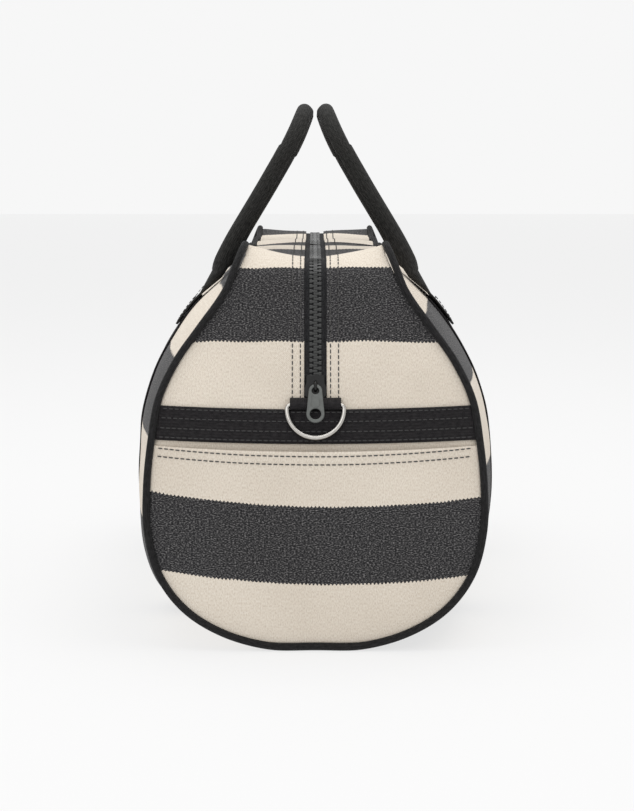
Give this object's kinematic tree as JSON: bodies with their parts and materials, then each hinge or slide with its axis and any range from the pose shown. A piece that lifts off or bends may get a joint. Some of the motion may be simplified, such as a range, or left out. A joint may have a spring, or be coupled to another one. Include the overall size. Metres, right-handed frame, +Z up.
{
  "type": "weekender bag",
  "caption": "Soft canvas travel bag with broad stripes, a zip over the top between corded seams, end slip pockets, webbing handles and rings.",
  "frame": {"origin": "centre of the bounding box at floor level", "axes": "+Z up, the long axis along Y with the end that holds the zip slider at -Y, +X across the bag"},
  "size_m": [0.2854, 0.512, 0.4113],
  "materials": {
    "cream_canvas": "heavy woven cotton canvas in cream",
    "striped_canvas": "heavy woven cotton canvas, cream with broad heathered charcoal stripes",
    "lining_cloth": "plain weave lining",
    "black_webbing": "ribbed cotton webbing",
    "black_piping": "bias-bound cord",
    "zip_tape": "herringbone tape",
    "zip_resin": "moulded teeth",
    "black_enamel": "black enamel",
    "gunmetal": "gunmetal plate",
    "nickel": "polished nickel plate",
    "core_cord": "soft twisted cord"
  },
  "bodies": {
    "bag": {"body_wrap": "striped_canvas", "slip_pocket_near": "striped_canvas", "slip_pocket_far": "striped_canvas", "end_gusset_near_left": "striped_canvas", "end_gusset_near_right": "striped_canvas", "end_gusset_far_left": "striped_canvas", "end_gusset_far_right": "striped_canvas", "end_panel_near": "cream_canvas", "end_panel_far": "cream_canvas", "lining": "lining_cloth", "end_band_near": "black_webbing", "end_band_far": "black_webbing", "ring_tab_near": "black_webbing", "ring_tab_far": "black_webbing", "body_strap_near": "black_webbing", "body_strap_far": "black_webbing", "handle_end_near_left": "black_webbing", "handle_end_near_right": "black_webbing", "handle_end_far_left": "black_webbing", "handle_end_far_right": "black_webbing", "piping_near": "black_piping", "piping_far": "black_piping", "end_zip_tape_near_left": "zip_tape", "end_zip_tape_near_right": "zip_tape", "end_zip_tape_far_left": "zip_tape", "end_zip_tape_far_right": "zip_tape", "end_zip_teeth_near_left": "zip_resin", "end_zip_teeth_near_right": "zip_resin", "end_zip_teeth_far_left": "zip_resin", "end_zip_teeth_far_right": "zip_resin"},
    "flap_left": {"top_gusset_left": "striped_canvas", "top_zip_tape_left": "zip_tape", "top_zip_teeth_left": "zip_resin"},
    "flap_right": {"top_gusset_right": "striped_canvas", "top_zip_tape_right": "zip_tape", "top_zip_teeth_right": "zip_resin"},
    "handle_left": {"handle_left": "black_webbing", "handle_core_left": "core_cord"},
    "handle_right": {"handle_right": "black_webbing", "handle_core_right": "core_cord"},
    "slider": {"zip_slider": "black_enamel"},
    "puller": {"zip_puller": "gunmetal"},
    "ring_near": {"d_ring_near": "nickel"},
    "ring_far": {"d_ring_far": "nickel"}
  },
  "joints": [
    {"name": "mouth_left_fold", "type": "hinge", "parent": "bag", "child": "flap_left", "pos_m": [-0.0483, 0, 0.291], "axis": [0, 1, 0], "range_deg": [-40, 85]},
    {"name": "mouth_right_fold", "type": "hinge", "parent": "bag", "child": "flap_right", "pos_m": [0.0483, 0, 0.291], "axis": [0, -1, 0], "range_deg": [-40, 85]},
    {"name": "handle_left_swing", "type": "hinge", "parent": "bag", "child": "handle_left", "pos_m": [-0.0805, 0, 0.27], "axis": [0, -1, 0], "range_deg": [0, 120]},
    {"name": "handle_right_swing", "type": "hinge", "parent": "bag", "child": "handle_right", "pos_m": [0.0805, 0, 0.27], "axis": [0, 1, 0], "range_deg": [0, 120]},
    {"name": "zip_run", "type": "slide", "parent": "bag", "child": "slider", "axis": [0, 0.1959, 0.9806], "range_m": [0, 0.066]},
    {"name": "puller_swing", "type": "hinge", "parent": "slider", "child": "puller", "pos_m": [0, -0.2424, 0.19442], "axis": [-1, 0, 0], "range_deg": [0, 135]},
    {"name": "ring_near_swing", "type": "hinge", "parent": "bag", "child": "ring_near", "pos_m": [0, -0.24454, 0.18037], "axis": [-1, 0, 0], "range_deg": [0, 95]},
    {"name": "ring_far_swing", "type": "hinge", "parent": "bag", "child": "ring_far", "pos_m": [0, 0.24454, 0.18037], "axis": [1, 0, 0], "range_deg": [0, 95]}
  ]
}
